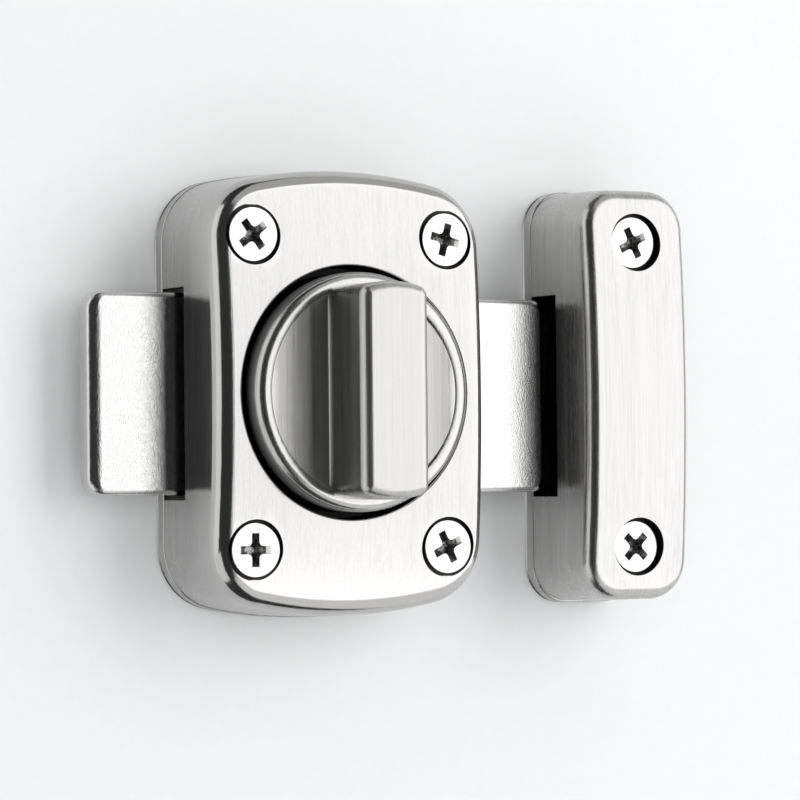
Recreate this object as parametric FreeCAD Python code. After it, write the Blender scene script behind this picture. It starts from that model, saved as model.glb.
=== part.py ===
import FreeCAD, Part
import math
import os

# Turn-knob bolt latch for a door, with its separate keeper on the frame. Millimetres.
# The pieces are built lying on their backs: x to the right, y up the door, z out of the door,
# with the door's surface at z = 0 and the knob's axis on x = y = 0. stand_up() then turns each
# one so that +Z is up, +X points at the keeper and +Y points into the door.

# Knob and crank: these two set the width, the height and the travel of the whole latch.
KNOB_R = 17.5
CRANK_R = 9.55
CRANK_REST_ANGLE = 135.0
TURN = 90.0

# Knob
KNOB_GAP = 1.1
KNOB_RIM_ROUND = 1.4
KNOB_RIM_PROUD = 2.8
KNOB_RING_WIDTH = 2.3
SCOOP_DEPTH = 0.7
GRIP_WIDTH = 11.0
GRIP_END_INSET = 1.8
GRIP_HEIGHT = 9.8
GRIP_ROUND = 1.6
HUB_R = 6.05
TENON_R = 4.5
TENON_FLAT = 3.2
TENON_LENGTH = 1.0
TENON_GAP = 0.03
KNOB_SKIRT = 2.4
KNOB_TOP_WALL = 3.4

# Bolt and its guides
BOLT_THICK = 4.0
BOLT_CORNER_R = 2.6
BOLT_EDGE_ROUND = 1.0
BOLT_TAIL_LEFT = 1.0
BOLT_TIP_GAP = 0.7
SLOT_END_WALL = 2.0
PIN_SIDE_GAP = 0.35
PIN_END_PLAY = 0.3
GUIDE_THICK = 1.75
GUIDE_WALL = 1.95
GUIDE_LAP = 3.3
GUIDE_END_LAP = 1.2
GUIDE_END_GAP = 2.3
SLIDE_GAP = 0.05
GUIDE_SIDE_GAP = 0.15
GUIDE_HOOK_GAP = 0.6

# Crank disc, its pin, its detent spring and its stop
PIN_R = 2.6
PIN_TENON_R = 1.6
PIN_EDGE_ROUND = 0.4
PIN_EDGE_WALL = 1.35
PIN_END_GAP = 0.5
CRANK_THICK = 2.2
CRANK_GAP = 0.25
DETENT_FLAT_DEPTH = 0.5
SPRING_THICK = 0.4
SPRING_WIDTH = 1.5
SPRING_GAP = 0.1
LUG_R = 1.2
LUG_GAP = 0.05
LUG_EDGE = 0.5
LUG_BOLT_GAP = 0.4
STOP_GAP = 0.15
STOP_ANGLE = 225.0

# Bush, wave washer and web
THRUST_GAP = 0.05
WEB_GAP = 0.25
WEB_THICK = 2.0
BUSH_WALL = 1.4
BUSH_RUN_GAP = 0.05
FLANGE_WIDTH = 1.5
FLANGE_THICK = 0.5
WASHER_BORE_GAP = 0.2
WASHER_WIDTH = 2.2
WASHER_THICK = 0.3
WASHER_WAVE = 0.12
WASHER_WAVES = 3

# Case
CASE_DEPTH = 19.6
CASE_CROWN_R = 218.0
CASE_SIDE_MARGIN = 4.4
CASE_END_MARGIN = 10.15
CASE_CORNER_R = 9.5
CASE_END_RISE = 3.6
CASE_FRONT_ROUND = 2.8
CASE_WALL = 2.2
CASE_FRONT_WALL = 2.4
CUP_WALL = 2.4
CUP_EDGE_ROUND = 0.3
PLATE_THICK = 2.4
PLATE_END_STEP = 0.3
SEAM_ROUND = 0.3
SLOT_SIDE_GAP = 0.75
SLOT_FRONT_GAP = 1.55
POST_R = 5.0
POST_BOLT_GAP = 3.0
POST_RIB = 3.4
POST_CORNER_STEP = 2.5
CASE_SCREW_END = 6.6
CASE_POST_R = 3.2
CASE_POST_RIB = 1.0

# Keeper
KEEPER_GAP = 17.6
KEEPER_WIDTH = 18.8
KEEPER_DEPTH = 19.06
KEEPER_CROWN_R = 300.0
KEEPER_SCREW_STEP = 0.5
KEEPER_END_MARGIN = 8.5
KEEPER_END_R = 752.0
KEEPER_CORNER_R = 6.0
KEEPER_FRONT_ROUND = 2.0
KEEPER_WALL = 2.0
KEEPER_FRONT_WALL = 2.4
KEEPER_POST_R = 4.9
KEEPER_POST_RIB = 1.2
KEEPER_SCREW_SINK = 1.0

# Wood screws, four in the case and two in the keeper
SCREW_LENGTH = 40.0
SCREW_HEAD_R = 3.85
SCREW_LAND = 0.5
SCREW_SHANK_R = 1.45
SCREW_THREAD_R = 2.0
SCREW_POINT = 3.6
SCREW_TIP_R = 0.15
SCREW_HOLE_R = 2.25
SINK_GAP = 0.45
RECESS_SPAN = 4.9
RECESS_BLADE = 1.15
RECESS_DEPTH = 2.1
RECESS_TAPER = 0.75

# Machine screws: one holds the crank disc to the knob, two hold the case to its back plate
M3_R = 1.5
M3_HEAD_R = 2.75
M3_HOLE_R = 1.6
M3_HEAD_SINK = 0.05
KNOB_SCREW_LENGTH = 10.0
M3_TIP_ROOM = 1.0
CASE_SCREW_LENGTH = 10.0
M3_RECESS_SPAN = 2.9
M3_RECESS_BLADE = 0.75
M3_RECESS_DEPTH = 1.3

# Turn of each wood screw's cross recess, anticlockwise from the front
SCREW_TURNS = {
    "body_screw_top_left": 37.0,
    "body_screw_top_right": -14.0,
    "body_screw_bottom_left": 0.0,
    "body_screw_bottom_right": 26.0,
    "keeper_screw_top": 26.0,
    "keeper_screw_bottom": -44.0,
}

# Worked out: heights above the door
BOLT_BACK = PLATE_THICK + GUIDE_THICK + SLIDE_GAP
BOLT_FRONT = BOLT_BACK + BOLT_THICK
CRANK_BACK = BOLT_FRONT + CRANK_GAP
CRANK_FRONT = CRANK_BACK + CRANK_THICK
BUSH_BACK = CRANK_FRONT + THRUST_GAP
WEB_BACK = CRANK_FRONT + WEB_GAP
WEB_FRONT = WEB_BACK + WEB_THICK
FLANGE_FRONT = WEB_FRONT + FLANGE_THICK
WASHER_BACK = FLANGE_FRONT
WASHER_FRONT = WASHER_BACK + WASHER_THICK + 2 * WASHER_WAVE
KNOB_BACK = WASHER_FRONT + THRUST_GAP
KNOB_RIM = CASE_DEPTH + KNOB_RIM_PROUD
GRIP_FRONT = KNOB_RIM + GRIP_HEIGHT
SLOT_FRONT = BOLT_FRONT + SLOT_FRONT_GAP

# Worked out: the bolt and everything round it
TRAVEL = 2 * CRANK_R * math.sin(math.radians(TURN / 2))
BOLT_HALF = CRANK_R + PIN_R + PIN_SIDE_GAP + PIN_END_PLAY + SLOT_END_WALL
SLOT_HALF = BOLT_HALF + SLOT_SIDE_GAP
RECESS_R = KNOB_R + KNOB_GAP
CUP_R = RECESS_R + CUP_WALL
CASE_HALF_WIDTH = RECESS_R + CASE_SIDE_MARGIN
SCREW_X = CASE_HALF_WIDTH - CASE_CORNER_R + POST_CORNER_STEP
SCREW_Y = BOLT_HALF + POST_BOLT_GAP + POST_R
CASE_HALF_HEIGHT = SCREW_Y + CASE_END_MARGIN
CASE_END_R = (CASE_HALF_WIDTH**2 + CASE_END_RISE**2) / (2 * CASE_END_RISE)
CASE_SCREW_Y = CASE_HALF_HEIGHT - CASE_SCREW_END
KEEPER_X = CASE_HALF_WIDTH + KEEPER_GAP + KEEPER_WIDTH / 2
KEEPER_FACE_X = KEEPER_X - KEEPER_WIDTH / 2
KEEPER_SCREW_Y = SCREW_Y + KEEPER_SCREW_STEP
KEEPER_HALF_HEIGHT = KEEPER_SCREW_Y + KEEPER_END_MARGIN
BOLT_TAIL_X = -(CASE_HALF_WIDTH + BOLT_TAIL_LEFT + TRAVEL)
BOLT_TIP_X = KEEPER_FACE_X - BOLT_TIP_GAP
CRANK_DISC_R = CRANK_R + PIN_TENON_R + PIN_EDGE_WALL
BUSH_BORE_R = HUB_R + BUSH_RUN_GAP
BUSH_R = BUSH_BORE_R + BUSH_WALL
FLANGE_R = BUSH_R + FLANGE_WIDTH
HOOK_R = LUG_R + LUG_GAP + SPRING_THICK
LUG_Y = CRANK_DISC_R + SPRING_GAP + HOOK_R
LUG_X = math.sqrt((CUP_R - LUG_EDGE - LUG_R) ** 2 - LUG_Y**2)
LUG_BACK = BOLT_FRONT + LUG_BOLT_GAP
STOP_RADIUS = CRANK_DISC_R - LUG_R * 2 / 3
STOP_FLOOR_R = STOP_RADIUS - LUG_R - STOP_GAP
GUIDE_HALF_LENGTH = CASE_HALF_WIDTH - CASE_WALL - GUIDE_END_GAP
GUIDE_FACE_Y = BOLT_HALF + GUIDE_SIDE_GAP
GUIDE_OUTER_Y = GUIDE_FACE_Y + GUIDE_WALL
GUIDE_END_X = LUG_X + HOOK_R + GUIDE_HOOK_GAP


def polar(radius, degrees):
    return (radius * math.cos(math.radians(degrees)), radius * math.sin(math.radians(degrees)))


def box(x0, x1, y0, y1, z0, z1):
    return Part.makeBox(x1 - x0, y1 - y0, z1 - z0, FreeCAD.Vector(x0, y0, z0))


def rod(radius, z0, z1, x=0.0, y=0.0):
    return Part.makeCylinder(radius, z1 - z0, FreeCAD.Vector(x, y, z0))


def cone(radius0, radius1, z0, z1, x=0.0, y=0.0):
    return Part.makeCone(radius0, radius1, z1 - z0, FreeCAD.Vector(x, y, z0))


def round_edges(shape, radius, wanted):
    return shape.makeFillet(radius, [edge for edge in shape.Edges if wanted(edge)])


def flat_at(edge, z):
    return abs(edge.BoundBox.ZMin - z) < 1e-4 and abs(edge.BoundBox.ZMax - z) < 1e-4


def outline(half_width, half_height, corner_r, end_r, z, x=0.0):
    """A closed wire with upright sides, round corners and ends that bow outwards on end_r."""
    end_centre_y = half_height - end_r
    corner_x = half_width - corner_r
    corner_y = end_centre_y + math.sqrt((end_r - corner_r) ** 2 - corner_x**2)
    lean = math.degrees(math.atan2(corner_y - end_centre_y, corner_x))

    def corner_point(degrees, side, end):
        along, up = polar(corner_r, degrees)
        return FreeCAD.Vector(x + side * (corner_x + along), end * (corner_y + up), z)

    def corner_arc(side, end, outward):
        angles = (0.0, lean / 2, lean) if outward else (lean, lean / 2, 0.0)
        return Part.Arc(*[corner_point(a, side, end) for a in angles]).toShape()

    def end_arc(end, start_side):
        start = corner_point(lean, start_side, end)
        finish = corner_point(lean, -start_side, end)
        return Part.Arc(start, FreeCAD.Vector(x, end * half_height, z), finish).toShape()

    def side(direction, start_end):
        start = corner_point(0.0, direction, start_end)
        return Part.LineSegment(start, corner_point(0.0, direction, -start_end)).toShape()

    edges = [
        side(1, -1), corner_arc(1, 1, True), end_arc(1, 1), corner_arc(-1, 1, False),
        side(-1, 1), corner_arc(-1, -1, True), end_arc(-1, -1), corner_arc(1, -1, False),
    ]
    return Part.Wire(edges)


def prism(wire, height):
    return Part.Face(wire).extrude(FreeCAD.Vector(0, 0, height))


def crowned_block(half_width, half_height, corner_r, end_r, depth, crown_r, front_round, x=0.0):
    """A casting's outside: a front face crowned up and down the door, with a round edge."""
    block = prism(outline(half_width, half_height, corner_r, end_r, PLATE_THICK, x), depth)
    start = FreeCAD.Vector(x - 2 * half_width, 0, depth - crown_r)
    block = block.common(Part.makeCylinder(crown_r, 4 * half_width, start, FreeCAD.Vector(1, 0, 0)))
    edge_floor = crown_height(depth, crown_r, half_height) - 0.1
    block = round_edges(block, front_round, lambda e: e.BoundBox.ZMin > edge_floor)
    return round_edges(block, SEAM_ROUND, lambda e: flat_at(e, PLATE_THICK))


def crown_height(depth, crown_r, y):
    return depth - crown_r + math.sqrt(crown_r**2 - y**2)


def sunk_hole(x, y, head_top, top):
    """A screw hole whose countersink takes the head's cone and is a little wider at its mouth."""
    land = head_top - SCREW_LAND
    hole = rod(SCREW_HOLE_R, -1.0, land, x, y)
    seat_back = land - (SCREW_HEAD_R - SCREW_HOLE_R)
    mouth = land + SINK_GAP
    hole = hole.fuse(cone(SCREW_HOLE_R, SCREW_HEAD_R + SINK_GAP, seat_back, mouth, x, y))
    return hole.fuse(rod(SCREW_HEAD_R + SINK_GAP, mouth, top, x, y))


def cross_recess(span, blade, depth, top, turn, down=-1):
    """A cross-head driver recess cut into a head whose flat is at top."""
    low, high = sorted((top - down, top + down * depth))
    bars = box(-span, span, -blade / 2, blade / 2, low, high)
    bars = bars.fuse(box(-blade / 2, blade / 2, -span, span, low, high))
    tip_r = span / 2 - RECESS_TAPER * depth * span / RECESS_SPAN
    rise = (span / 2 - tip_r) / depth
    radii = (tip_r, span / 2 + rise) if down < 0 else (span / 2 + rise, tip_r)
    cross = bars.common(cone(radii[0], radii[1], low, high))
    cross.rotate(FreeCAD.Vector(0, 0, 0), FreeCAD.Vector(0, 0, 1), turn)
    return cross


def wood_screw(x, y, head_top, turn):
    land = head_top - SCREW_LAND
    neck = land - (SCREW_HEAD_R - SCREW_SHANK_R)
    tip = head_top - SCREW_LENGTH
    step = SCREW_THREAD_R - SCREW_SHANK_R
    screw = rod(SCREW_HEAD_R, land, head_top)
    screw = screw.fuse(cone(SCREW_SHANK_R, SCREW_HEAD_R, neck, land))
    screw = screw.fuse(rod(SCREW_SHANK_R, step, neck))
    screw = screw.fuse(cone(SCREW_THREAD_R, SCREW_SHANK_R, 0.0, step))
    screw = screw.fuse(rod(SCREW_THREAD_R, tip + SCREW_POINT, 0.0))
    screw = screw.fuse(cone(SCREW_TIP_R, SCREW_THREAD_R, tip, tip + SCREW_POINT))
    screw = screw.cut(cross_recess(RECESS_SPAN, RECESS_BLADE, RECESS_DEPTH, head_top, turn))
    screw.translate(FreeCAD.Vector(x, y, 0))
    return screw


def machine_screw(x, y, head_z, length):
    """A countersunk screw driven in from the back, with its head's flat at head_z."""
    sink = M3_HEAD_R - M3_R
    screw = cone(M3_HEAD_R, M3_R, head_z, head_z + sink)
    screw = screw.fuse(rod(M3_R, head_z + sink, head_z + length))
    recess = cross_recess(M3_RECESS_SPAN, M3_RECESS_BLADE, M3_RECESS_DEPTH, head_z, 0.0, down=1)
    screw = screw.cut(recess)
    screw.translate(FreeCAD.Vector(x, y, 0))
    return screw


def machine_screw_hole(x, y, head_z, through, hole_r=M3_HOLE_R):
    """Room for a countersunk screw from the back, whose head's flat is at head_z."""
    mouth = head_z - M3_HEAD_SINK
    neck = head_z + M3_HEAD_R - hole_r
    hole = cone(M3_HEAD_R + M3_HEAD_SINK, hole_r, mouth, neck, x, y)
    return hole.fuse(rod(hole_r, neck - 0.01, through, x, y))


def crank_cut(radius_gap, flat_gap, z0, z1):
    """The round key with two flats that turns the crank disc."""
    key = rod(TENON_R + radius_gap, z0, z1)
    flats = TENON_FLAT + flat_gap
    return key.common(box(-flats, flats, -2 * TENON_R, 2 * TENON_R, z0, z1))


def make_body_cover():
    shell = crowned_block(CASE_HALF_WIDTH, CASE_HALF_HEIGHT, CASE_CORNER_R, CASE_END_R, CASE_DEPTH,
                          CASE_CROWN_R, CASE_FRONT_ROUND)
    cavity_top = crown_height(CASE_DEPTH, CASE_CROWN_R, CASE_HALF_HEIGHT) - CASE_FRONT_WALL
    hollow = outline(CASE_HALF_WIDTH - CASE_WALL, CASE_HALF_HEIGHT - CASE_WALL,
                     CASE_CORNER_R - CASE_WALL, CASE_END_R - CASE_WALL, PLATE_THICK - 1.0)
    cavity = prism(hollow, cavity_top - PLATE_THICK + 1.0)
    cavity = cavity.cut(rod(CUP_R, WEB_BACK, CASE_DEPTH))
    kept = []
    for side in (-1, 1):
        for end in (-1, 1):
            x, y = side * SCREW_X, end * SCREW_Y
            kept.append(rod(POST_R, PLATE_THICK, CASE_DEPTH, x, y))
            reach = sorted((x, side * CASE_HALF_WIDTH))
            kept.append(box(reach[0], reach[1], y - POST_RIB, y + POST_RIB, PLATE_THICK, CASE_DEPTH))
        kept.append(rod(CASE_POST_R, PLATE_THICK, CASE_DEPTH, 0, side * CASE_SCREW_Y))
        wall_y = sorted((side * CASE_SCREW_Y, side * CASE_HALF_HEIGHT))
        kept.append(box(-CASE_POST_RIB, CASE_POST_RIB, wall_y[0], wall_y[1], PLATE_THICK, CASE_DEPTH))
        kept.append(rod(LUG_R, LUG_BACK, WEB_BACK, side * LUG_X, LUG_Y))
    stop_x, stop_y = polar(STOP_RADIUS, STOP_ANGLE)
    kept.append(rod(LUG_R, LUG_BACK, WEB_BACK, stop_x, stop_y))
    for piece in kept:
        cavity = cavity.cut(piece)
    cover = shell.cut(cavity)
    recess = rod(RECESS_R, WEB_FRONT, CASE_DEPTH + 1.0)
    cover = cover.cut(recess)
    cover = round_edges(cover, CUP_EDGE_ROUND, is_recess_mouth)
    cover = cover.cut(rod(BUSH_R, WEB_BACK - 1.0, WEB_FRONT + 1.0))
    cover = cover.cut(box(-2 * CASE_HALF_WIDTH, 2 * CASE_HALF_WIDTH, -SLOT_HALF, SLOT_HALF,
                          PLATE_THICK - 1.0, SLOT_FRONT))
    for side in (-1, 1):
        for end in (-1, 1):
            head_top = crown_height(CASE_DEPTH, CASE_CROWN_R, SCREW_Y)
            cover = cover.cut(sunk_hole(side * SCREW_X, end * SCREW_Y, head_top, CASE_DEPTH + 1.0))
        cover = cover.cut(machine_screw_hole(0, side * CASE_SCREW_Y, M3_HEAD_SINK,
                                             CASE_SCREW_LENGTH + M3_TIP_ROOM, M3_R))
    return cover


def is_recess_mouth(edge):
    middle = edge.valueAt((edge.FirstParameter + edge.LastParameter) / 2)
    on_wall = abs(math.hypot(middle.x, middle.y) - RECESS_R) < 1e-3
    return on_wall and edge.BoundBox.ZMin > crown_height(CASE_DEPTH, CASE_CROWN_R, RECESS_R) - 0.1


def make_body_back_plate():
    wire = outline(CASE_HALF_WIDTH, CASE_HALF_HEIGHT + PLATE_END_STEP, CASE_CORNER_R,
                   CASE_END_R, 0.0)
    plate = prism(wire, PLATE_THICK)
    plate = round_edges(plate, SEAM_ROUND, lambda e: flat_at(e, PLATE_THICK))
    for side in (-1, 1):
        for end in (-1, 1):
            plate = plate.cut(rod(SCREW_HOLE_R, -1.0, PLATE_THICK + 1.0, side * SCREW_X, end * SCREW_Y))
        plate = plate.cut(machine_screw_hole(0, side * CASE_SCREW_Y, M3_HEAD_SINK, PLATE_THICK + 1.0))
    return plate


def make_bolt():
    bolt = box(BOLT_TAIL_X, BOLT_TIP_X, -BOLT_HALF, BOLT_HALF, BOLT_BACK, BOLT_FRONT)
    bolt = round_edges(bolt, BOLT_CORNER_R, lambda e: e.BoundBox.ZLength > BOLT_THICK - 0.01)
    bolt = round_edges(bolt, BOLT_EDGE_ROUND, lambda e: e.BoundBox.ZLength < 0.01)
    pin_x, pin_y = polar(CRANK_R, CRANK_REST_ANGLE)
    half = PIN_R + PIN_SIDE_GAP
    low = pin_y - PIN_END_PLAY
    high = CRANK_R + PIN_END_PLAY
    slot = box(pin_x - half, pin_x + half, low, high, BOLT_BACK - 1.0, BOLT_FRONT + 1.0)
    for y in (low, high):
        slot = slot.fuse(rod(half, BOLT_BACK - 1.0, BOLT_FRONT + 1.0, pin_x, y))
    return bolt.cut(slot)


def make_guide(side):
    """A low-friction channel along one edge of the bolt, on the back plate."""
    half = GUIDE_HALF_LENGTH
    base_in = GUIDE_FACE_Y - GUIDE_LAP
    guide = box(-half, half, base_in, GUIDE_OUTER_Y, PLATE_THICK, PLATE_THICK + GUIDE_THICK)
    guide = guide.fuse(box(-half, half, GUIDE_FACE_Y, GUIDE_OUTER_Y, PLATE_THICK,
                           BOLT_FRONT + SLIDE_GAP))
    for end in (-1, 1):
        x = sorted((end * GUIDE_END_X, end * half))
        guide = guide.fuse(box(x[0], x[1], GUIDE_FACE_Y - GUIDE_END_LAP, GUIDE_OUTER_Y,
                               BOLT_FRONT + SLIDE_GAP, WEB_BACK))
    if side < 0:
        guide = guide.mirror(FreeCAD.Vector(0, 0, 0), FreeCAD.Vector(0, 1, 0))
    return guide.removeSplitter()


def make_crank_disc():
    disc = rod(CRANK_DISC_R, CRANK_BACK, CRANK_FRONT)
    flat_y = CRANK_DISC_R - DETENT_FLAT_DEPTH
    wide = 2 * CRANK_DISC_R
    disc = disc.cut(box(-wide, wide, flat_y, wide, CRANK_BACK, CRANK_FRONT))
    disc = disc.cut(box(-wide, -flat_y, -wide, wide, CRANK_BACK, CRANK_FRONT))
    spare = math.degrees((LUG_R + STOP_GAP) / STOP_RADIUS)
    run = TURN + 2 * spare
    notch = Part.makeCylinder(wide, CRANK_THICK, FreeCAD.Vector(0, 0, CRANK_BACK),
                              FreeCAD.Vector(0, 0, 1), run)
    notch = notch.cut(rod(STOP_FLOOR_R, CRANK_BACK, CRANK_FRONT))
    notch.rotate(FreeCAD.Vector(0, 0, 0), FreeCAD.Vector(0, 0, 1), STOP_ANGLE - spare)
    disc = disc.cut(notch)
    pin_x, pin_y = polar(CRANK_R, CRANK_REST_ANGLE)
    disc = disc.cut(rod(PIN_TENON_R, CRANK_BACK, CRANK_FRONT, pin_x, pin_y))
    disc = disc.cut(crank_cut(TENON_GAP, TENON_GAP, CRANK_FRONT - TENON_LENGTH, CRANK_FRONT))
    return disc.cut(machine_screw_hole(0, 0, CRANK_BACK + M3_HEAD_SINK, CRANK_FRONT, M3_R))


def make_crank_pin():
    pin_x, pin_y = polar(CRANK_R, CRANK_REST_ANGLE)
    pin = rod(PIN_R, BOLT_BACK + PIN_END_GAP, CRANK_BACK, pin_x, pin_y)
    pin = round_edges(pin, PIN_EDGE_ROUND, lambda e: flat_at(e, BOLT_BACK + PIN_END_GAP))
    return pin.fuse(rod(PIN_TENON_R, CRANK_BACK, CRANK_FRONT, pin_x, pin_y))


def make_detent_spring():
    """A strip across the top of the crank disc, hooked round a lug at each end."""
    z0 = LUG_BACK + (WEB_BACK - LUG_BACK - SPRING_WIDTH) / 2
    z1 = z0 + SPRING_WIDTH
    spring = box(-LUG_X, LUG_X, LUG_Y - HOOK_R, LUG_Y - HOOK_R + SPRING_THICK, z0, z1)
    for side in (-1, 1):
        hook = rod(HOOK_R, z0, z1, side * LUG_X, LUG_Y)
        hook = hook.cut(rod(HOOK_R - SPRING_THICK, z0, z1, side * LUG_X, LUG_Y))
        outer = sorted((side * LUG_X, side * (LUG_X + 2 * HOOK_R)))
        hook = hook.common(box(outer[0], outer[1], LUG_Y - 2 * HOOK_R, LUG_Y + 2 * HOOK_R, z0, z1))
        spring = spring.fuse(hook)
    return spring.removeSplitter()


def make_knob_bush():
    bush = rod(BUSH_R, BUSH_BACK, WEB_FRONT)
    bush = bush.fuse(rod(FLANGE_R, WEB_FRONT, FLANGE_FRONT))
    return bush.cut(rod(BUSH_BORE_R, BUSH_BACK, FLANGE_FRONT)).removeSplitter()


def make_wave_washer():
    """A thin ring whose height swings up and down three times round, to keep the knob firm."""
    inner = BUSH_BORE_R + WASHER_BORE_GAP
    outer = inner + WASHER_WIDTH
    middle = WASHER_BACK + WASHER_THICK / 2 + WASHER_WAVE
    steps = 8 * WASHER_WAVES

    def ring_edge(radius, offset):
        points = []
        for step in range(steps):
            turn = 360.0 * step / steps
            height = middle + offset + WASHER_WAVE * math.cos(math.radians(WASHER_WAVES * turn))
            points.append(FreeCAD.Vector(*polar(radius, turn), height))
        curve = Part.BSplineCurve()
        curve.interpolate(Points=points, PeriodicFlag=True)
        return Part.Wire(curve.toShape())

    rings = {}
    for name, radius in (("inner", inner), ("outer", outer)):
        for level, offset in (("low", -WASHER_THICK / 2), ("high", WASHER_THICK / 2)):
            rings[name, level] = ring_edge(radius, offset)
    order = [("inner", "low"), ("outer", "low"), ("outer", "high"), ("inner", "high"), ("inner", "low")]
    faces = []
    for first, second in zip(order, order[1:]):
        faces.extend(Part.makeRuledSurface(rings[first], rings[second]).Faces)
    shell = Part.makeShell(faces)
    shell.sewShape()
    return Part.makeSolid(shell)


def make_knob():
    knob = rod(KNOB_R, KNOB_BACK, KNOB_RIM)
    knob = round_edges(knob, KNOB_RIM_ROUND, lambda e: flat_at(e, KNOB_RIM))
    knob = round_edges(knob, SEAM_ROUND, lambda e: flat_at(e, KNOB_BACK))
    ring_r = KNOB_R - KNOB_RING_WIDTH
    grip_half = GRIP_WIDTH / 2
    chord = ring_r - grip_half
    scoop_r = (chord**2 + SCOOP_DEPTH**2) / (2 * SCOOP_DEPTH)
    for side in (-1, 1):
        base = FreeCAD.Vector(side * grip_half, -2 * KNOB_R, KNOB_RIM - SCOOP_DEPTH + scoop_r)
        scoop = Part.makeCylinder(scoop_r, 4 * KNOB_R, base, FreeCAD.Vector(0, 1, 0))
        scoop = scoop.common(rod(ring_r, KNOB_RIM - 2 * SCOOP_DEPTH, KNOB_RIM + 1.0))
        x = sorted((0.0, side * 2 * KNOB_R))
        scoop = scoop.common(box(x[0], x[1], -2 * KNOB_R, 2 * KNOB_R, KNOB_BACK, GRIP_FRONT))
        knob = knob.cut(scoop)
    grip_r = KNOB_R - GRIP_END_INSET
    foot = KNOB_RIM - 2 * SCOOP_DEPTH
    grip = rod(grip_r, foot, GRIP_FRONT)
    grip = grip.common(box(-grip_half, grip_half, -grip_r - 1.0, grip_r + 1.0, foot, GRIP_FRONT))
    grip = round_edges(grip, GRIP_ROUND, lambda e: not flat_at(e, foot))
    knob = knob.fuse(grip)
    core_r = KNOB_R - KNOB_SKIRT
    hub_wall_r = HUB_R + KNOB_SKIRT
    core = rod(core_r, KNOB_BACK - 1.0, KNOB_RIM - SCOOP_DEPTH - KNOB_TOP_WALL)
    knob = knob.cut(core.cut(rod(hub_wall_r, KNOB_BACK - 1.0, KNOB_RIM)))
    knob = knob.fuse(rod(HUB_R, CRANK_FRONT, KNOB_BACK))
    knob = knob.fuse(crank_cut(0.0, 0.0, CRANK_FRONT - TENON_LENGTH, CRANK_FRONT))
    screw_end = CRANK_BACK + KNOB_SCREW_LENGTH + M3_TIP_ROOM
    knob = knob.cut(machine_screw_hole(0, 0, CRANK_BACK + M3_HEAD_SINK, screw_end, M3_R))
    return knob.removeSplitter()


def make_keeper_cover():
    half_width = KEEPER_WIDTH / 2
    shell = crowned_block(half_width, KEEPER_HALF_HEIGHT, KEEPER_CORNER_R, KEEPER_END_R,
                          KEEPER_DEPTH, KEEPER_CROWN_R, KEEPER_FRONT_ROUND, KEEPER_X)
    hollow = outline(half_width - KEEPER_WALL, KEEPER_HALF_HEIGHT - KEEPER_WALL,
                     KEEPER_CORNER_R - KEEPER_WALL, KEEPER_END_R, PLATE_THICK - 1.0, KEEPER_X)
    cavity_top = crown_height(KEEPER_DEPTH, KEEPER_CROWN_R, KEEPER_HALF_HEIGHT) - KEEPER_FRONT_WALL
    cavity = prism(hollow, cavity_top - PLATE_THICK + 1.0)
    for end in (-1, 1):
        y = end * KEEPER_SCREW_Y
        cavity = cavity.cut(rod(KEEPER_POST_R, PLATE_THICK, KEEPER_DEPTH, KEEPER_X, y))
        cavity = cavity.cut(box(KEEPER_X - half_width, KEEPER_X + half_width, y - KEEPER_POST_RIB,
                                y + KEEPER_POST_RIB, PLATE_THICK, KEEPER_DEPTH))
    cover = shell.cut(cavity)
    cover = cover.cut(box(KEEPER_FACE_X - 1.0, KEEPER_X, -SLOT_HALF, SLOT_HALF,
                          PLATE_THICK - 1.0, SLOT_FRONT))
    head_top = crown_height(KEEPER_DEPTH, KEEPER_CROWN_R, KEEPER_SCREW_Y) - KEEPER_SCREW_SINK
    for end in (-1, 1):
        cover = cover.cut(sunk_hole(KEEPER_X, end * KEEPER_SCREW_Y, head_top, KEEPER_DEPTH + 1.0))
    return cover


def make_keeper_back_plate():
    wire = outline(KEEPER_WIDTH / 2, KEEPER_HALF_HEIGHT + PLATE_END_STEP, KEEPER_CORNER_R,
                   KEEPER_END_R, 0.0, KEEPER_X)
    plate = prism(wire, PLATE_THICK)
    plate = round_edges(plate, SEAM_ROUND, lambda e: flat_at(e, PLATE_THICK))
    for end in (-1, 1):
        y = end * KEEPER_SCREW_Y
        plate = plate.cut(rod(SCREW_HOLE_R, -1.0, PLATE_THICK + 1.0, KEEPER_X, y))
    return plate


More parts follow.
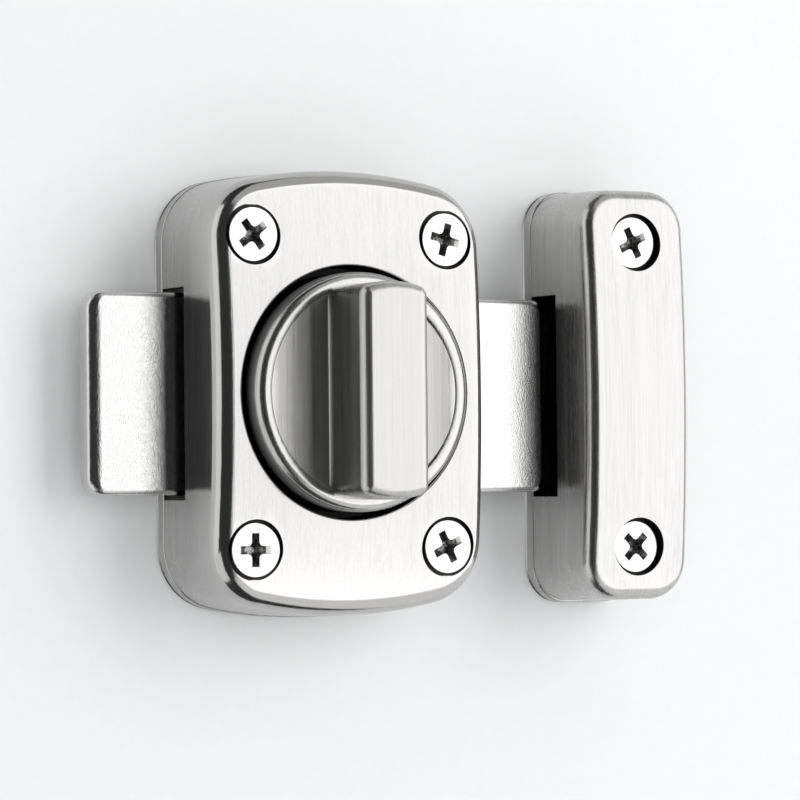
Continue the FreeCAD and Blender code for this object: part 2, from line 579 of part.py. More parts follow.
def make_parts():
    parts = {
        "body_back_plate": make_body_back_plate(),
        "body_cover": make_body_cover(),
        "upper_bolt_guide": make_guide(1),
        "lower_bolt_guide": make_guide(-1),
        "bolt": make_bolt(),
        "crank_disc": make_crank_disc(),
        "crank_pin": make_crank_pin(),
        "detent_spring": make_detent_spring(),
        "knob_bush": make_knob_bush(),
        "wave_washer": make_wave_washer(),
        "knob": make_knob(),
        "knob_screw": machine_screw(0, 0, CRANK_BACK + M3_HEAD_SINK, KNOB_SCREW_LENGTH),
        "keeper_cover": make_keeper_cover(),
        "keeper_back_plate": make_keeper_back_plate(),
    }
    head_top = crown_height(CASE_DEPTH, CASE_CROWN_R, SCREW_Y)
    for end, height in (("top", SCREW_Y), ("bottom", -SCREW_Y)):
        for side, x in (("left", -SCREW_X), ("right", SCREW_X)):
            name = f"body_screw_{end}_{side}"
            parts[name] = wood_screw(x, height, head_top, SCREW_TURNS[name])
    keeper_top = crown_height(KEEPER_DEPTH, KEEPER_CROWN_R, KEEPER_SCREW_Y) - KEEPER_SCREW_SINK
    for end, height in (("top", KEEPER_SCREW_Y), ("bottom", -KEEPER_SCREW_Y)):
        name = f"keeper_screw_{end}"
        parts[name] = wood_screw(KEEPER_X, height, keeper_top, SCREW_TURNS[name])
    for end, height in (("top", CASE_SCREW_Y), ("bottom", -CASE_SCREW_Y)):
        parts[f"case_screw_{end}"] = machine_screw(0, height, M3_HEAD_SINK, CASE_SCREW_LENGTH)
    return parts


def stand_up(shape):
    turned = shape.copy()
    turned.rotate(FreeCAD.Vector(0, 0, 0), FreeCAD.Vector(1, 0, 0), 90)
    return turned


os.makedirs("parts", exist_ok=True)
for name, shape in make_parts().items():
    solid = stand_up(shape)
    solid.exportStep(f"parts/{name}.step")
    print(f"{name:26s} solids {len(solid.Solids)} valid {solid.isValid()} volume {solid.Volume:9.2f}")
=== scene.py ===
import math

import bmesh
import bpy
import numpy as np
from mathutils import Matrix, Vector


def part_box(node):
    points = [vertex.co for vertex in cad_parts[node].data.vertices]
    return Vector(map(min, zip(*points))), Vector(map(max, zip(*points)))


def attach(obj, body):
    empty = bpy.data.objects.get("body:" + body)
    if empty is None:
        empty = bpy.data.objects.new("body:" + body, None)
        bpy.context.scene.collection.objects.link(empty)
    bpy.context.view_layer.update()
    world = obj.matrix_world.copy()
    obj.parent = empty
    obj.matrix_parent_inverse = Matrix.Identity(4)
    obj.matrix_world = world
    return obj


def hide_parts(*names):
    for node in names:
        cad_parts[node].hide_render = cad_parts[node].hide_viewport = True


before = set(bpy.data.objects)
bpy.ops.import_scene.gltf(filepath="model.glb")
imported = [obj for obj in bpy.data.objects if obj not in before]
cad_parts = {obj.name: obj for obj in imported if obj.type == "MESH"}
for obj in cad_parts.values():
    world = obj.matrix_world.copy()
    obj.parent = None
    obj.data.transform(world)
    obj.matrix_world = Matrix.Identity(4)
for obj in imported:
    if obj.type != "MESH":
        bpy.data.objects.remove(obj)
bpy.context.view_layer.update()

bl_info = {
    "name": "Knob Bolt Latch",
    "version": (1, 0, 0),
    "blender": (4, 5, 0),
    "location": "3D View > Sidebar > Latch",
    "description": "Models a surface bolt worked by a turn knob, with its keeper, piece by piece",
    "category": "Add Mesh",
}

MM = 0.001
# Steps along a side, a corner, half an end, a front edge, and a full turn, large or small.
SIDE_STEPS = 16
CORNER_STEPS = 14
END_STEPS = 20
FRONT_STEPS = 12
LATHE_STEPS = 192
SMALL_STEPS = 64
# The small round along the seam at the back plates, and how far in its middle lies.
SEAM = 0.3 * MM
SEAM_MIDDLE = 0.09 * MM
FRONT_WALL = 2.4 * MM
POST_GAP = 0.02 * MM
STRAIGHT_END = 100.0
SQUEEZED_WASHER = 0.59 * MM
# The share of the depth at which the sides begin to lean in.
LEAN_START = 0.54
# The two small screws that hold the case to its back plate.
CASE_SCREWS = ("case_screw_top", "case_screw_bottom")
CASE_SCREW_HEAD = 3.0 * MM
CASE_SCREW_HOLE = 1.6 * MM
CASE_SCREW_SINK = 1.4 * MM
CASE_SCREW_POST = 3.2 * MM
TAPPED_HOLE = 1.5 * MM
TAPPED_DEPTH = 11.2 * MM


def low(node, axis):
    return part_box(node)[0][axis]


def high(node, axis):
    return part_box(node)[1][axis]


def middle(node, axis):
    return (low(node, axis) + high(node, axis)) / 2


# Heights are measured outwards from the door, along -Y.
PLATE_FRONT = -low("body_back_plate", 1)
CASE_DEPTH = -low("body_cover", 1)
CASE_HALF_WIDTH = high("body_cover", 0)
CASE_HALF_HEIGHT = high("body_cover", 2)
KNOB_BACK = -high("wave_washer", 1) + SQUEEZED_WASHER
KNOB_RADIUS = high("knob", 0)
GRIP_FRONT = -low("knob", 1)
KEEPER_X = middle("keeper_cover", 0)
KEEPER_HALF_WIDTH = high("keeper_cover", 0) - KEEPER_X
KEEPER_HALF_HEIGHT = high("keeper_cover", 2)
KEEPER_END_RADIUS = 80 * KEEPER_HALF_WIDTH
KEEPER_DEPTH = -low("keeper_cover", 1)
BOLT_BACK = -high("bolt", 1)
BOLT_FRONT = -low("bolt", 1)
BOLT_HALF_HEIGHT = high("bolt", 2)
# The wood screws, each with its cross recess turned clockwise by so many degrees.
BODY_SCREWS = {
    "body_screw_top_left": 53.0,
    "body_screw_top_right": 14.0,
    "body_screw_bottom_left": 0.0,
    "body_screw_bottom_right": -26.0,
}
KEEPER_SCREWS = {"keeper_screw_top": -26.0, "keeper_screw_bottom": -46.0}


def length(name, description, default, smallest=0.0):
    return bpy.props.FloatProperty(
        name=name, description=description, default=default, min=smallest,
        subtype="DISTANCE", unit="LENGTH", precision=5)


def turn(name, description, degrees):
    return bpy.props.FloatProperty(
        name=name, description=description, default=math.radians(degrees), subtype="ANGLE",
        unit="ROTATION")


def colour(name, description, default):
    return bpy.props.FloatVectorProperty(
        name=name, description=description, default=(*default, 1.0), size=4, min=0.0, max=1.0,
        subtype="COLOR")


class LatchCaseSizes(bpy.types.PropertyGroup):
    half_width: length("Half width", "Half the case's width", CASE_HALF_WIDTH)
    half_height: length("Half height", "Half the case's height in front",
                        CASE_HALF_HEIGHT - 0.25 * MM)
    back_step: length("Draft", "How much taller the ends are at the back", 0.4 * MM)
    end_rise: length("End rise", "How far each end bows outwards", 3.6 * MM)
    corner: length("Corner radius", "Radius of the four upright corners", 9.5 * MM)
    crown: length("Crown radius", "Radius of the front face's crown", 218 * MM)
    lean: turn("Side lean", "How far the sides lean in by the front edge", 10.0)
    side_round: length("Side edge round", "Round where the front meets the sides", 2.75 * MM)
    end_round: length("End edge round", "Round where the front meets the ends", 2.4 * MM)
    wall: length("Wall", "Thickness of the case's walls", 2.2 * MM)
    recess: length("Recess radius", "Radius of the recess that the knob stands in", 18.6 * MM)
    web_front: length("Recess floor", "Height of the recess floor", 12.9 * MM)
    web_back: length("Recess back", "Height of the recess floor's back", 10.9 * MM)
    bore: length("Bush bore", "Radius of the bush's hole", 7.5 * MM)


class LatchKeeperSizes(bpy.types.PropertyGroup):
    half_height: length("Half height", "Half the keeper's height in front",
                        KEEPER_HALF_HEIGHT - 0.4 * MM)
    back_step: length("Draft", "How much taller the ends are at the back", 0.4 * MM)
    corner: length("Corner radius", "Radius of the four upright corners", 6.0 * MM)
    crown: length("Crown radius", "Radius of the front face's crown", 300 * MM)
    lean: turn("Side lean", "How far the sides lean in by the front edge", 4.0)
    front_round: length("Edge round", "Round along the front edge", 1.9 * MM)
    wall: length("Wall", "Thickness of the keeper's walls", 2.0 * MM)


class LatchBoltSizes(bpy.types.PropertyGroup):
    corner: length("Corner radius", "Radius of the bolt's corners", 2.6 * MM)
    edge_round: length("Edge round", "Round along the bolt's edges", 1.0 * MM)
    end_spread: bpy.props.FloatProperty(
        name="End spread", description="How much wider the round is at the ends",
        default=1.1, min=0.0, max=1.5)
    slot_half_height: length("Slot half height", "Half the height of the side slots", 15.55 * MM)
    slot_front: length("Slot front", "Height of the side slots' front", 9.75 * MM)


class LatchKnobSizes(bpy.types.PropertyGroup):
    rim: length("Rim height", "Height of the knob's round rim", 22.4 * MM)
    rim_round: length("Rim round", "Round along the rim's outer edge", 1.4 * MM)
    ring: length("Ring radius", "Inner radius of the rim's flat ring", 15.2 * MM)
    scoop_depth: length("Scoop depth", "Depth of the scoops beside the grip", 0.7 * MM)
    grip_half_width: length("Grip half width", "Half the width of the finger grip", 5.5 * MM)
    grip_radius: length("Grip end radius", "Radius on which the grip's ends stand", 15.7 * MM)
    grip_round: length("Grip edge round", "Round along the grip's edges", 1.6 * MM)
    cove: length("Cove", "Hollow round where the grip meets the scoops", 0.45 * MM)
    hub: length("Hub radius", "Radius of the hub that turns in the bush", 6.05 * MM)


class LatchScrewSizes(bpy.types.PropertyGroup):
    head: length("Head radius", "Radius of the wood screws' heads", 3.95 * MM)
    land: length("Head land", "Height of the upright rim round the head", 0.5 * MM)
    shank: length("Shank radius", "Radius of the plain shank", 1.45 * MM)
    thread: length("Thread radius", "Radius at the thread's crest", 2.0 * MM)
    pitch: length("Pitch", "Distance between thread crests", 1.8 * MM, 0.5 * MM)
    mouth: length("Countersink radius", "Radius of the countersink's mouth", 4.45 * MM)
    hole: length("Hole radius", "Radius of the screw's clearance hole", 2.25 * MM)
    recess_span: length("Recess span", "Span of the cross recess", 4.9 * MM)
    recess_depth: length("Recess depth", "Depth of the cross recess", 2.1 * MM)
    blade: length("Recess blade", "Half the width of each arm of the cross recess", 0.6 * MM)
    flare: length("Recess flare", "Width of the ease between neighbouring arms", 0.55 * MM)


class LatchFinishes(bpy.types.PropertyGroup):
    nickel: colour("Satin nickel", "Colour of the case, keeper and knob", (0.50, 0.496, 0.488))
    bright: colour("Bright nickel", "Colour of the bolt and the screws", (0.64, 0.636, 0.628))
    bronze: colour("Bronze", "Colour of the knob's bush", (0.52, 0.33, 0.15))
    steel: colour("Steel", "Colour of the springs, crank disc and pin", (0.52, 0.52, 0.53))
    acetal: colour("Acetal", "Colour of the bolt's guides", (0.80, 0.79, 0.74))
    door: colour("Door", "Colour of the door panel and the floor", (0.86, 0.865, 0.87))


class LatchSettings(bpy.types.PropertyGroup):
    case: bpy.props.PointerProperty(type=LatchCaseSizes)
    keeper: bpy.props.PointerProperty(type=LatchKeeperSizes)
    bolt: bpy.props.PointerProperty(type=LatchBoltSizes)
    knob: bpy.props.PointerProperty(type=LatchKnobSizes)
    screw: bpy.props.PointerProperty(type=LatchScrewSizes)
    finish: bpy.props.PointerProperty(type=LatchFinishes)


# ---- Drawing

def outline(half_width, half_height, corner, end_radius):
    """Corners and outward normals, as (x, z), round a plate whose ends bow out on end_radius."""
    end_centre = half_height - end_radius
    corner_x = half_width - corner
    corner_z = end_centre + math.sqrt((end_radius - corner) ** 2 - corner_x ** 2)
    lean = math.atan2(corner_z - end_centre, corner_x)
    points = [(half_width, corner_z * k / SIDE_STEPS) for k in range(SIDE_STEPS)]
    turns = [0.0] * SIDE_STEPS
    for k in range(CORNER_STEPS):
        turn = lean * k / CORNER_STEPS
        points.append((corner_x + corner * math.cos(turn), corner_z + corner * math.sin(turn)))
        turns.append(turn)
    for k in range(END_STEPS + 1):
        turn = lean + (math.pi / 2 - lean) * k / END_STEPS
        points.append((end_radius * math.cos(turn), end_centre + end_radius * math.sin(turn)))
        turns.append(turn)
    quarter = np.array(points)
    normal = np.array([(math.cos(t), math.sin(t)) for t in turns])
    half = [np.vstack((a[:-1], (a * (-1, 1))[:0:-1])) for a in (quarter, normal)]
    return [np.vstack((a, -a)) for a in half]


def arc_radius(half_chord, rise):
    """The radius of an arc that rises so far over half its chord."""
    return (half_chord ** 2 + rise ** 2) / (2 * rise)


def circle(radius, steps=LATHE_STEPS):
    turns = np.arange(steps) * 2 * math.pi / steps
    return radius * np.column_stack((np.cos(turns), np.sin(turns)))


def at_height(points, height, x=0.0, z=0.0):
    """The points stood off the door by height, which is one number or one for each point."""
    heights = np.broadcast_to(height, len(points))
    return np.column_stack((points[:, 0] + x, -heights, points[:, 1] + z))


def crown_height(depth, crown, z):
    return depth - crown + np.sqrt(crown ** 2 - np.square(z))


def on_crown(points, depth, crown, drop=0.0, x=0.0):
    return at_height(points, crown_height(depth, crown, points[:, 1]) - drop, x)


def quarter_round(radius, steps):
    """How far in and how far below the top each step of a rounded edge lies, from the wall up."""
    turns = [math.pi / 2 * k / steps for k in range(steps + 1)]
    return [(radius * (1 - math.cos(t)), radius * (1 - math.sin(t))) for t in turns]


# ---- Shaping

def select_only(*pieces):
    if bpy.context.object is not None and bpy.context.object.mode != "OBJECT":
        bpy.ops.object.mode_set(mode="OBJECT")
    bpy.ops.object.select_all(action="DESELECT")
    for piece in pieces:
        piece.select_set(True)
        bpy.context.view_layer.objects.active = piece


def lay_corners(piece, ring):
    """Moves each selected corner to its own place on the ring."""
    mesh = bmesh.from_edit_mesh(piece.data)
    corner = mesh.verts.layers.int["corner"]
    for vert in mesh.verts:
        if vert.select:
            vert.co = ring[vert[corner]]
    bmesh.update_edit_mesh(piece.data)


def pull_through(name, rings):
    """Draws a ring, pulls it out from place to place, closes what is open and faces it outwards."""
    select_only()
    bpy.ops.mesh.primitive_circle_add(vertices=len(rings[0]), radius=MM)
    piece = bpy.context.object
    piece.name = name
    bpy.ops.object.mode_set(mode="EDIT")
    bpy.ops.mesh.select_mode(type="VERT")
    mesh = bmesh.from_edit_mesh(piece.data)
    corner = mesh.verts.layers.int.new("corner")
    for number, vert in enumerate(mesh.verts):
        vert[corner] = number
    bmesh.update_edit_mesh(piece.data)
    lay_corners(piece, rings[0])
    for ring in rings[1:]:
        bpy.ops.mesh.extrude_region_move()
        lay_corners(piece, ring)
    bpy.ops.mesh.select_all(action="SELECT")
    bpy.ops.mesh.remove_doubles(threshold=0.001 * MM)
    bpy.ops.mesh.fill_holes(sides=0)
    bpy.ops.mesh.normals_make_consistent(inside=False)
    bpy.ops.object.mode_set(mode="OBJECT")
    piece.data.attributes.remove(piece.data.attributes["corner"])
    return piece


def block(name, lows, highs):
    """A square-cornered block between two corners."""
    select_only()
    centre = [(a + b) / 2 for a, b in zip(lows, highs)]
    bpy.ops.mesh.primitive_cube_add(size=1.0, location=centre)
    piece = bpy.context.object
    piece.name = name
    piece.scale = [b - a for a, b in zip(lows, highs)]
    bpy.ops.object.transform_apply()
    return piece


def join(pieces):
    select_only(*pieces)
    bpy.ops.object.join()
    return bpy.context.object


def combine(piece, other, operation="DIFFERENCE"):
    """Cuts the other solid out of the piece, or welds it on, and throws it away."""
    select_only(piece)
    bpy.ops.object.modifier_add(type="BOOLEAN")
    modifier = piece.modifiers[-1]
    modifier.operation = operation
    modifier.solver = "EXACT"
    modifier.object = other
    bpy.ops.object.modifier_apply(modifier=modifier.name)
    select_only(other)
    bpy.ops.object.delete()
    select_only(piece)
    bpy.ops.object.mode_set(mode="EDIT")
    bpy.ops.mesh.select_all(action="SELECT")
    bpy.ops.mesh.remove_doubles(threshold=0.0005 * MM)
    bpy.ops.object.mode_set(mode="OBJECT")
    return piece


def seat(node, x=None):
    """Where a screw or a pin stands, as (x, z)."""
    return middle(node, 0) if x is None else x, middle(node, 2)


def lathe(name, profile, place, steps=SMALL_STEPS):
    """A turned piece from (radius, height) pairs, standing off the door at place, (x, z)."""
    return pull_through(name, [at_height(circle(radius, steps), height, *place)
                               for radius, height in profile])


def post(place, radius, top):
    """A round post for a screw, up to a height inside the front wall."""
    foot = PLATE_FRONT + POST_GAP
    return lathe("post", [(radius, foot), (radius, top)], place)


def sunk_hole(sizes, node, place, out):
    """A cutter for a wood screw's hole, from behind the door face to out, with its countersink."""
    land = -low(node, 1) - sizes.land
    profile = [(sizes.hole, -MM), (sizes.hole, land - (sizes.head - sizes.hole)),
               (sizes.head, land), (sizes.mouth, land), (sizes.mouth, out)]
    return lathe("hole_cutter", profile, place, steps=96)


def write_marks(piece, name, domain, values):
    attribute = piece.data.attributes.new(name, "FLOAT", domain)
    attribute.data.foreach_set("value", values)


def mark(piece, name, share):
    """Writes a share, 0 to 1, on each corner from its place and normal, for the finish to read."""
    write_marks(piece, name, "POINT", [share(vert.co, vert.normal) for vert in piece.data.vertices])


def mark_faces(piece, name, chosen):
    """Writes 1 on each face that is chosen by its middle and its normal, and 0 on the others."""
    write_marks(piece, name, "FACE",
                [float(chosen(face.center, face.normal)) for face in piece.data.polygons])


def edge_polish(front, upright=0.02, flat=0.995):
    """Bright on rounded edges further out than front, satin on faces that are flat or upright."""
    def polish(place, normal):
        facing = abs(normal.y)
        if -place.y < front or facing < upright or facing > flat:
            return 0.0
        return min(1.0, (facing - upright) / 0.2, (flat - facing) / 0.03)
    return polish


def finish_piece(piece, body, node, material, sharp=32.0):
    select_only(piece)
    bpy.ops.object.transform_apply()
    bpy.ops.object.shade_smooth_by_angle(angle=math.radians(sharp))
    bpy.ops.object.modifier_add(type="WEIGHTED_NORMAL")
    piece.modifiers[-1].keep_sharp = True
    bpy.ops.object.modifier_apply(modifier=piece.modifiers[-1].name)
    piece.data.materials.clear()
    piece.data.materials.append(material)
    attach(piece, body)
    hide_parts(node)


# ---- Finishes

class Finish:
    """A material under construction: its nodes, and the shader that they feed."""

    def __init__(self, name, metallic=0.0):
        self.material = bpy.data.materials.new(name)
        self.material.use_nodes = True
        self.nodes = self.material.node_tree.nodes
        self.links = self.material.node_tree.links
        self.shader = self.nodes["Principled BSDF"]
        self.shader.inputs["Metallic"].default_value = metallic

    def feed(self, socket, value):
        if isinstance(value, bpy.types.NodeSocket):
            self.links.new(value, socket)
        else:
            socket.default_value = value

    def drive(self, name, value):
        self.feed(self.shader.inputs[name], value)

    def add(self, kind, settings=None, **inputs):
        node = self.nodes.new(kind)
        for name, value in (settings or {}).items():
            setattr(node, name, value)
        for name, value in inputs.items():
            self.feed(node.inputs[name], value)
        return node

    def noise(self, cells, detail=2.0, roughness=0.5):
        """Noise on the piece's own coordinates, with so many cells a metre, or along x, y, z."""
        scale = cells if isinstance(cells, tuple) else (cells,) * 3
        place = self.add("ShaderNodeTexCoord").outputs["Object"]
        mapped = self.add("ShaderNodeMapping", Vector=place, Scale=scale).outputs["Vector"]
        return self.add("ShaderNodeTexNoise", Vector=mapped, Scale=1.0, Detail=detail,
                        Roughness=roughness).outputs["Fac"]

    def marked(self, name):
        """What mark or mark_faces wrote on the piece under that name."""
        return self.add("ShaderNodeAttribute", {"attribute_name": name}).outputs["Fac"]

    def stretch(self, value, from_low, from_high, to_low=0.0, to_high=1.0):
        node = self.add("ShaderNodeMapRange", None, Value=value)
        for socket, number in zip(node.inputs[1:5], (from_low, from_high, to_low, to_high)):
            socket.default_value = number
        return node.outputs["Result"]

    def mix(self, share, first, second, data_type="FLOAT", sockets=(0, 2, 3), output=0):
        node = self.add("ShaderNodeMix", {"data_type": data_type})
        for socket, value in zip(sockets, (share, first, second)):
            self.feed(node.inputs[socket], value)
        return node.outputs[output]

    def blend(self, share, first, second):
        """Mixes two colours."""
        return self.mix(share, first, second, "RGBA", (0, 6, 7), 2)

    def times(self, first, second, operation="MULTIPLY"):
        node = self.add("ShaderNodeMath", {"operation": operation})
        self.feed(node.inputs[0], first)
        self.feed(node.inputs[1], second)
        return node.outputs[0]

    def bump(self, height, strength, distance):
        bump = self.add("ShaderNodeBump", None, Height=height, Strength=strength,
                        Distance=distance)
        self.drive("Normal", bump.outputs["Normal"])


def shade(tint, share):
    return (tint[0] * share, tint[1] * share, tint[2] * share, 1.0)


def brushed_nickel(name, tint, satin, polished):
    """Nickel brushed up and down, with its rounded edges buffed bright."""
    finish = Finish(name, 1.0)
    streak, hair, band = 2000.0, 6400.0, 500.0
    streaks = finish.noise((streak, streak, streak / 90), 4.0, 0.6)
    hairs = finish.noise((hair, hair, streak / 22))
    clouds = finish.noise((70.0, 70.0, 45.0))
    bands = finish.noise((band, band, streak / 160))
    polish, painted_shade, dull = (finish.marked(each) for each in ("polish", "painted_shade", "dull"))
    lines = finish.mix(0.3, finish.mix(0.4, streaks, hairs), bands)
    satin_roughness = finish.stretch(lines, 0.35, 0.65, satin - 0.05, satin + 0.08)
    buffed = finish.stretch(clouds, 0.3, 0.7, polished - 0.02, polished + 0.03)
    roughness = finish.mix(polish, satin_roughness, buffed)
    brushed_tint = finish.blend(finish.stretch(lines, 0.38, 0.62),
                                shade(tint, 0.88), shade(tint, 1.06))
    cast = finish.blend(finish.stretch(clouds, 0.35, 0.65), shade(tint, 0.95), shade(tint, 1.0))
    plated = finish.blend(polish, brushed_tint, cast)
    # Faces marked by the shaded-hollows mask get painted shade: a near-black base colour, with matt
    # roughness.
    dark, matt = shade(tint, 0.06), 0.5
    finish.drive("Base Color", finish.blend(painted_shade, plated, dark))
    finish.drive("Roughness", finish.mix(painted_shade, finish.mix(dull, roughness, matt), matt))
    finish.bump(finish.times(lines, finish.mix(polish, 1.0, 0.6)), 1.0, 0.03 * MM)
    return finish.material


def tumbled_nickel(name, tint, roughness):
    """Bright nickel over tumbled steel, with a fine pebbled grain."""
    finish = Finish(name, 1.0)
    grain = finish.noise(4600.0, 2.0, 0.6)
    waves = finish.noise(900.0)
    finish.drive("Base Color",
                 finish.blend(finish.stretch(grain, 0.3, 0.7), shade(tint, 0.9), tint))
    finish.drive("Roughness",
                 finish.stretch(grain, 0.3, 0.7, roughness - 0.05, roughness + 0.07))
    finish.bump(finish.mix(0.2, grain, waves), 1.0, 0.045 * MM)
    return finish.material


def screw_nickel(name, tint):
    """Bright nickel whose cross recess is dull and mottled, and darkened with painted shade."""
    finish = Finish(name, 1.0)
    scratches = finish.noise((900.0, 900.0, 260.0), 4.0, 0.65)
    mottle = finish.noise(2300.0, 3.0, 0.65)
    painted_recess_shade = finish.marked("painted_recess_shade")
    head = finish.blend(finish.stretch(scratches, 0.35, 0.65), shade(tint, 0.93), tint)
    # The recess's colour is mottled painted shade, near-black at its darkest.
    dull = finish.blend(finish.stretch(mottle, 0.40, 0.56), shade(tint, 0.10), shade(tint, 0.75))
    finish.drive("Base Color", finish.blend(painted_recess_shade, head, dull))
    finish.drive("Roughness",
                 finish.mix(painted_recess_shade, finish.stretch(scratches, 0.3, 0.7, 0.16, 0.26), 0.4))
    finish.bump(finish.mix(painted_recess_shade, finish.times(scratches, 0.15), mottle), 0.5, 0.05 * MM)
    return finish.material


def machined_metal(name, tint, roughness, cells, grain_depth, dark=0.8, metallic=1.0):
    """A plain inner part's finish: turned, rolled, sintered or plated, by its cells a metre."""
    finish = Finish(name, metallic)
    grain = finish.noise(cells, 4.0, 0.6)
    spread = finish.mix(0.4, grain, finish.noise(260.0))
    finish.drive("Base Color",
                 finish.blend(finish.stretch(spread, 0.35, 0.65), shade(tint, dark), tint))
    finish.drive("Roughness",
                 finish.stretch(grain, 0.3, 0.7, roughness - 0.05, roughness + 0.08))
    finish.bump(grain, 0.4, grain_depth)
    return finish.material


def painted(name, tint, roughness):
    """Smooth paint with a very faint roller texture."""
    finish = Finish(name)
    roller = finish.noise(520.0, 3.0, 0.5)
    finish.drive("Base Color",
                 finish.blend(finish.stretch(roller, 0.3, 0.7), shade(tint, 0.985), tint))
    finish.drive("Roughness",
                 finish.stretch(roller, 0.3, 0.7, roughness - 0.03, roughness + 0.04))
    finish.bump(roller, 0.1, 0.03 * MM)
    return finish


def finish_cast(settings, piece, node, part="case", satin=0.24, polished=0.13, sharp=32.0):
    """Finishes a piece in its part's brushed nickel, which the part's first piece makes."""
    name = "brushed_" + part
    material = bpy.data.materials.get(name) or brushed_nickel(
        name, settings.finish.nickel, satin, polished)
    finish_piece(piece, part, node, material, sharp)


# ---- Pieces

def case_walls(sizes, depth, half_width, end_radius, rounds, x=0.0):
    """Rings from the seam at the back plate up the outer wall and over the rounded front edge.

    rounds are the edge's radii at the sides and at the ends.
    """
    def edge(height):
        share = np.clip((height - PLATE_FRONT) / (depth - PLATE_FRONT), 0.0, 1.0)
        return outline(half_width, sizes.half_height + sizes.back_step * (1 - share), sizes.corner,
                       end_radius)

    rings = []
    points, normals = edge(PLATE_FRONT)
    for inset, drop in reversed(quarter_round(SEAM, 3)):
        rings.append(at_height(points - inset * normals, PLATE_FRONT + drop, x))
    points, normals = edge(depth)
    sideways = normals[:, 0] ** 2
    front_round = rounds[1] + (rounds[0] - rounds[1]) * sideways
    lean = sizes.lean * sideways
    foot = crown_height(depth, sizes.crown, points[:, 1]) - front_round * (1 - np.sin(lean))
    lean_start = depth * LEAN_START
    lower = edge(lean_start)[0]
    rings.append(at_height(edge(lean_start / 2)[0], lean_start / 2, x))
    rings.append(at_height(lower, lean_start, x))
    pulled_in = 0.5 * (foot - lean_start) * np.tan(lean)
    for share in (0.25, 0.5, 0.75):
        lying = lower + share * (points - lower) - (share ** 2 * pulled_in)[:, None] * normals
        rings.append(at_height(lying, lean_start + share * (foot - lean_start), x))
    for step in range(FRONT_STEPS + 1):
        turn = lean + (math.pi / 2 - lean) * step / FRONT_STEPS
        inset = pulled_in + front_round * (np.cos(lean) - np.cos(turn))
        lying = points - inset[:, None] * normals
        rings.append(on_crown(lying, depth, sizes.crown, front_round * (1 - np.sin(turn)), x))
    return rings


def shaded_hollows(front, x, recess, holes, mouth):
    """Chooses the inner walls, the recess and the screw holes, which get painted shade."""
    # plated is how far below the front the painted shade starts on inward faces.
    plated, tilt, play = 1.2 * MM, 0.2 * MM, 0.05 * MM

    def chosen(place, normal):
        deep = -place.y < front - plated
        inwards = (place.x - x) * normal.x + place.z * normal.z < -tilt
        in_recess = math.hypot(place.x, place.z) < recess + play / 5
        off_axis = min(math.hypot(place.x - a, place.z - b) for a, b in holes)
        in_hole = off_axis < mouth + play and abs(normal.y) < 0.9
        return (deep and inwards) or in_recess or in_hole or off_axis < mouth - 2 * play
    return chosen


class LATCH_OT_case_cover(bpy.types.Operator):
    """Casts the case's cover: crowned front, knob recess, side slots and screw posts"""
    bl_idname = "latch.case_cover"
    bl_label = "Case Cover"

    def execute(self, context):
        settings = context.scene.latch
        case, screw, bolt = settings.case, settings.screw, settings.bolt
        end_radius = arc_radius(case.half_width, case.end_rise)
        rings = case_walls(case, CASE_DEPTH, case.half_width, end_radius,
                           (case.side_round, case.end_round))
        rim = rings[-1][:, (0, 2)]
        turns = np.arctan2(rim[:, 1], rim[:, 0])
        spokes = np.column_stack((np.cos(turns), np.sin(turns)))
        lip = (case.recess + SEAM) * spokes
        for share in (0.04, 0.15, 0.3, 0.45, 0.6, 0.75, 0.88, 0.96):
            points = rim + share * (lip - rim)
            rings.append(on_crown(points, CASE_DEPTH, case.crown))
        for inset, drop in reversed(quarter_round(SEAM, 4)):
            rings.append(on_crown((case.recess + inset) * spokes, CASE_DEPTH, case.crown, drop))
        cup, cup_step, bore_ease = 20.6 * MM, 4.9 * MM, 0.2 * MM
        web_middle, web_back_middle = 13 * MM, 14 * MM
        ceiling = crown_height(CASE_DEPTH, case.crown, case.half_height) - FRONT_WALL
        for radius, height in (
                (case.recess, case.web_front + cup_step), (case.recess, case.web_front + SEAM),
                (case.recess - SEAM_MIDDLE, case.web_front + SEAM_MIDDLE),
                (case.recess - SEAM, case.web_front), (web_middle, case.web_front),
                (case.bore + bore_ease, case.web_front), (case.bore, case.web_front - bore_ease),
                (case.bore, case.web_back), (web_back_middle, case.web_back),
                (cup, case.web_back), (cup, ceiling)):
            rings.append(at_height(radius * spokes, height))
        points, normals = outline(case.half_width, case.half_height, case.corner, end_radius)
        inner = points - case.wall * normals
        rings += [at_height(inner, ceiling), at_height(inner, PLATE_FRONT), rings[0]]
        cover = pull_through("case_cover", rings)
        post_radius, post_top = 5 * MM, 15.5 * MM
        posts = [post(seat(node), post_radius, post_top) for node in BODY_SCREWS]
        posts += [post(seat(node, 0.0), CASE_SCREW_POST, post_top) for node in CASE_SCREWS]
        combine(cover, join(posts), "UNION")
        cutters = [sunk_hole(screw, node, seat(node), CASE_DEPTH + MM) for node in BODY_SCREWS]
        cutters += [lathe("case_screw_hole", [(TAPPED_HOLE, 0.0), (TAPPED_HOLE, TAPPED_DEPTH)],
                          seat(node, 0.0), steps=48) for node in CASE_SCREWS]
        combine(cover, join(cutters))
        slots = block("slot", (-2 * case.half_width, -bolt.slot_front, -bolt.slot_half_height),
                      (2 * case.half_width, 0.0, bolt.slot_half_height))
        combine(cover, slots)
        mark(cover, "polish", edge_polish(CASE_DEPTH * 0.5))
        seats = [seat(node) for node in BODY_SCREWS]
        # The inner walls, the recess and the screw holes get painted shade.
        mark_faces(cover, "painted_shade", shaded_hollows(CASE_DEPTH, 0.0, case.recess, seats, screw.mouth))
        finish_cast(settings, cover, "body_cover")
        return {"FINISHED"}


